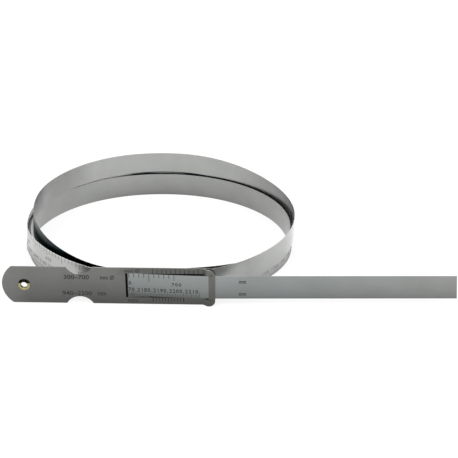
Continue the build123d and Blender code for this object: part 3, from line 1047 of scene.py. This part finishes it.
WRAP, STAND, MARKS, NUMBERS = wrap_tree(), stand_tree(), scale_tree(), number_tree()
ON_BAND = (WRAP, {"Line": band_line, "Lift": (TAPE_THICKNESS / 2 + INK_LIFT) * MM})
ON_HEAD = (STAND, {"Corner": placed((0.0, -INK_LIFT, 0.0)).tolist()})
COUNTED = ("Count", "First", "Step", "Hang")


def in_metres(values):
    """A scale's lengths in metres, and its counts as they are."""
    return {name: value if name in COUNTED else value * MM for name, value in values.items()}


def printed(name, layers, base=None):
    """A printed piece that rides on the one body."""
    piece = grown(name, base or bpy.data.meshes.new(name + "_base"), layers)
    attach(piece, "root")
    return piece


# %% [markdown]
# The band is read through the window, against the head's own short scales. Its lower edge
# carries millimetres of circumference from 940 to 2215. Its upper edge carries diameters from
# 300 to 700 mm, one mark for each pi millimetres, so that a girth reads as a diameter.

# %% The band's two scales
READ_X, READ_NUMBER = 108.67, 2200
CIRCUMFERENCES = (940, 2215)
DIAMETERS = (300, 700)
NUMBER_STEP = 10
CIRCUMFERENCE_ROW, DIAMETER_ROW = 4.6 - HALF_WIDTH, 9.2 - HALF_WIDTH
DIAMETER_ROW_SHIFT = 1.5
in_window = (QUARTERS >= WINDOW_QUARTER) & (QUARTERS <= BRIDGE_QUARTER)
read_length = float(np.interp(READ_X, MIDDLES[in_window, 0], ALONG[in_window]))


def length_at(reading):
    """The length along the band where a circumference stands."""
    return read_length + reading - READ_NUMBER


def marks_in(ends, every=1):
    """How many marks or numbers a scale has between its ends."""
    return (ends[1] - ends[0]) // every + 1


circumference_start = length_at(CIRCUMFERENCES[0])
diameter_start = length_at(math.pi * DIAMETERS[0])
band_marks = {
    "circumference_marks": {
        "Count": marks_in(CIRCUMFERENCES), "First": CIRCUMFERENCES[0],
        "Start": circumference_start, "Pitch": 1.0, "Base": -HALF_WIDTH, "Hang": 0.0,
        "Breadth": 0.28, "Short": 2.5, "Fifth": 4.1, "Tenth": 3.2,
    },
    "diameter_marks": {
        "Count": marks_in(DIAMETERS), "First": DIAMETERS[0],
        "Start": diameter_start, "Pitch": math.pi, "Base": HALF_WIDTH, "Hang": 1.0,
        "Breadth": 0.36, "Short": 2.8, "Fifth": 5.3, "Tenth": 4.1,
    },
}
band_numbers = {
    "circumference_numbers": {
        "Count": marks_in(CIRCUMFERENCES, NUMBER_STEP), "First": CIRCUMFERENCES[0],
        "Step": NUMBER_STEP, "Start": circumference_start, "Pitch": NUMBER_STEP,
        "Base": CIRCUMFERENCE_ROW, "Spacing": 2.15, "Breadth": 2.7, "Height": 2.7,
    },
    "diameter_numbers": {
        "Count": marks_in(DIAMETERS, NUMBER_STEP), "First": DIAMETERS[0], "Step": NUMBER_STEP,
        "Start": diameter_start + DIAMETER_ROW_SHIFT, "Pitch": NUMBER_STEP * math.pi,
        "Base": DIAMETER_ROW, "Spacing": 2.2, "Breadth": 2.5, "Height": 2.4,
    },
}
for name, values in band_marks.items():
    printed(name, [(MARKS, in_metres(values)), ON_BAND])
for name, values in band_numbers.items():
    printed(name, [(NUMBERS, in_metres(values)), ON_BAND])

# %% [markdown]
# The head's scales divide one step of the band's scale by ten. Ten steps of the upper one
# span nine of the band's, and ten of the lower one span nineteen, so the mark that meets a
# mark of the band tells the tenths.

# %% The head's two short scales
VERNIER_STEPS = 10
head_marks = {
    "diameter_vernier": {
        "Count": VERNIER_STEPS + 1, "First": 0, "Start": 94.55, "Pitch": 0.9 * math.pi,
        "Base": WINDOW_HIGH, "Hang": 0.0, "Breadth": 0.5, "Short": 2.6, "Fifth": 3.4, "Tenth": 3.4,
    },
    "circumference_vernier": {
        "Count": VERNIER_STEPS + 1, "First": 0, "Start": 94.45, "Pitch": 1.9,
        "Base": WINDOW_LOW, "Hang": 1.0, "Breadth": 0.7, "Short": 2.1, "Fifth": 2.9, "Tenth": 2.9,
    },
}
for name, values in head_marks.items():
    printed(name, [(MARKS, in_metres(values)), ON_HEAD])

# %% [markdown]
# The few words of the scales are units and ranges. They are flat letter shapes, fitted to
# the width and height that each takes up.

# %% Units and ranges on the head and on the tongue: left, right, low and high
HEAD_WORDS = [
    ("300\u2013700", 39.0, 54.8, 17.1, 20.2),
    ("mm \u00d8", 61.7, 70.5, 17.1, 20.1),
    ("940\u20132200", 37.5, 56.2, 5.6, 8.7),
    ("mm", 59.8, 65.0, 5.6, 7.9),
    ("mm \u00d8", 77.0, 86.5, 22.3, 24.6),
    ("mm", 78.5, 85.0, 1.1, 3.1),
]
TONGUE_WORDS = [
    ("mm", 148.1, 152.5, 10.6, 12.6),
    ("mm", 148.1, 152.5, 2.0, 4.0),
]


def word_sheet(name, words):
    """One flat mesh with all the words, each fitted to its place, in metres."""
    sheet = bmesh.new()
    for text, left, right, low, high in words:
        mesh = letters(text)
        mesh_low, mesh_high = extent(mesh)
        wide = (right - left) / (mesh_high[0] - mesh_low[0]) * MM
        tall = (high - low) / (mesh_high[1] - mesh_low[1]) * MM
        to_corner = Matrix.Translation((-mesh_low[0], -mesh_low[1], 0.0))
        to_size = Matrix.Diagonal((wide, tall, 1.0, 1.0))
        to_place = Matrix.Translation((left * MM, low * MM, 0.0))
        mesh.transform(to_place @ to_size @ to_corner)
        sheet.from_mesh(mesh)
    merged = bpy.data.meshes.new(name + "_sheet")
    sheet.to_mesh(merged)
    sheet.free()
    return merged


def tongue_words():
    """The tongue's words with their left and right ends as lengths along the band."""
    on_tongue = QUARTERS >= TONGUE_QUARTER
    rows = []
    for text, left, right, low, high in TONGUE_WORDS:
        start, end = np.interp((left, right), MIDDLES[on_tongue, 0], ALONG[on_tongue])
        rows.append((text, float(start), float(end), low - HALF_WIDTH, high - HALF_WIDTH))
    return rows


printed("head_words", [ON_HEAD], word_sheet("head_words", HEAD_WORDS))
printed("tongue_words", [ON_BAND], word_sheet("tongue_words", tongue_words()))
bpy.data.objects.remove(band_line)
